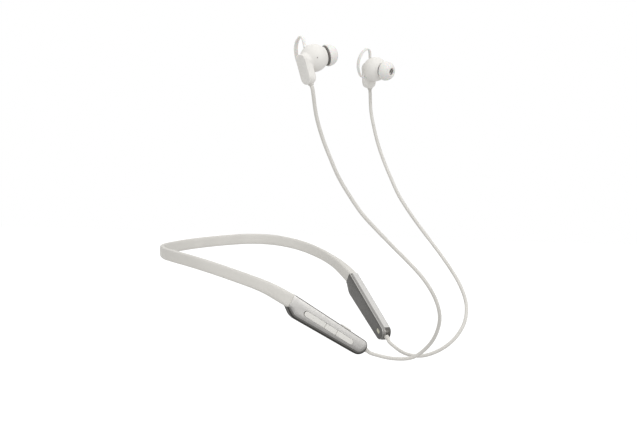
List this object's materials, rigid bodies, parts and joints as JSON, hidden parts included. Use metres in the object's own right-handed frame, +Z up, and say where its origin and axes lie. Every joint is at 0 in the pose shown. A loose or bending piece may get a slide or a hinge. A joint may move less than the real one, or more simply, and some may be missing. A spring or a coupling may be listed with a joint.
{
  "type": "neckband earphones",
  "caption": "Wireless neckband earphones: flexible neck ribbon, slim front modules with keys and status light, thin cords and winged in-ear buds.",
  "frame": {"origin": "middle of the band's inner face at the back of the neck", "axes": "+Z up as worn, the wearer faces -Y, the wearer's right side and the module with the keys are at -X"},
  "size_m": [0.1592, 0.1987, 0.2047],
  "materials": {
    "band_silicone": "matte light cream silicone",
    "satin_shell": "satin pale champagne coat",
    "inner_cover": "smooth dark gunmetal",
    "keys": "fine matte cream",
    "steel": "plain",
    "ribbon": "amber ribbon",
    "board": "solder mask",
    "black_parts": "moulded black",
    "battery_foil": "foil pouch",
    "light": "translucent pale green",
    "bud_housing": "matte cream",
    "bud_plate": "fine sand grain",
    "bud_silicone": "soft matte cream silicone",
    "dark_silicone": "dark grey-brown",
    "cord": "soft matte cream"
  },
  "bodies": {
    "neckband": {"band_cover": "band_silicone", "band_spring": "steel", "band_cable": "ribbon", "right_outer_shell": "satin_shell", "right_inner_shell": "inner_cover", "right_board": "board", "radio_chip": "black_parts", "microphone": "steel", "key_switches": "steel", "side_switch": "steel", "right_board_screws": "steel", "right_band_clamp": "steel", "right_strain_relief": "cord", "right_lead": "cord", "left_outer_shell": "satin_shell", "left_inner_shell": "inner_cover", "battery": "battery_foil", "charge_board": "board", "usb_socket": "steel", "status_led": "light", "light_pipe": "light", "left_board_screws": "steel", "left_band_clamp": "steel", "left_strain_relief": "cord", "left_lead": "cord", "right_front_housing": "bud_housing", "right_rear_housing": "bud_housing", "right_outer_plate": "bud_plate", "right_driver": "black_parts", "right_magnet": "steel", "right_nozzle_mesh": "dark_silicone", "right_ear_wing": "bud_silicone", "right_grommet": "cord", "right_bud_lead": "cord", "left_front_housing": "bud_housing", "left_rear_housing": "bud_housing", "left_outer_plate": "bud_plate", "left_driver": "black_parts", "left_magnet": "steel", "left_nozzle_mesh": "dark_silicone", "left_ear_wing": "bud_silicone", "left_grommet": "cord", "left_bud_lead": "cord", "right_cord": "cord", "left_cord": "cord"},
    "volume_up_key": {"volume_up_key": "keys"},
    "multi_key": {"multi_key": "keys"},
    "volume_down_key": {"volume_down_key": "keys"},
    "side_button": {"side_button": "keys"},
    "right_tip": {"right_ear_tip": "bud_silicone", "right_tip_core": "dark_silicone"},
    "left_tip": {"left_ear_tip": "bud_silicone", "left_tip_core": "dark_silicone"}
  },
  "joints": [
    {"name": "volume_up_key_press", "type": "slide", "parent": "neckband", "child": "volume_up_key", "axis": [0.7139, 0.6997, 0.0294], "range_m": [0, 0.0003], "stiffness_N_per_m": 500},
    {"name": "multi_key_press", "type": "slide", "parent": "neckband", "child": "multi_key", "axis": [0.7139, 0.6997, 0.0294], "range_m": [0, 0.0003], "stiffness_N_per_m": 500},
    {"name": "volume_down_key_press", "type": "slide", "parent": "neckband", "child": "volume_down_key", "axis": [0.7139, 0.6997, 0.0294], "range_m": [0, 0.0003], "stiffness_N_per_m": 500},
    {"name": "side_button_press", "type": "slide", "parent": "neckband", "child": "side_button", "axis": [-0.3585, 0.4013, -0.8429], "range_m": [0, 0.00035], "stiffness_N_per_m": 500},
    {"name": "right_tip_pull", "type": "slide", "parent": "neckband", "child": "right_tip", "axis": [0.7036, -0.6795, 0.2079], "range_m": [0, 0.008]},
    {"name": "left_tip_pull", "type": "slide", "parent": "neckband", "child": "left_tip", "axis": [-0.37, -0.9158, -0.1564], "range_m": [0, 0.008]}
  ]
}
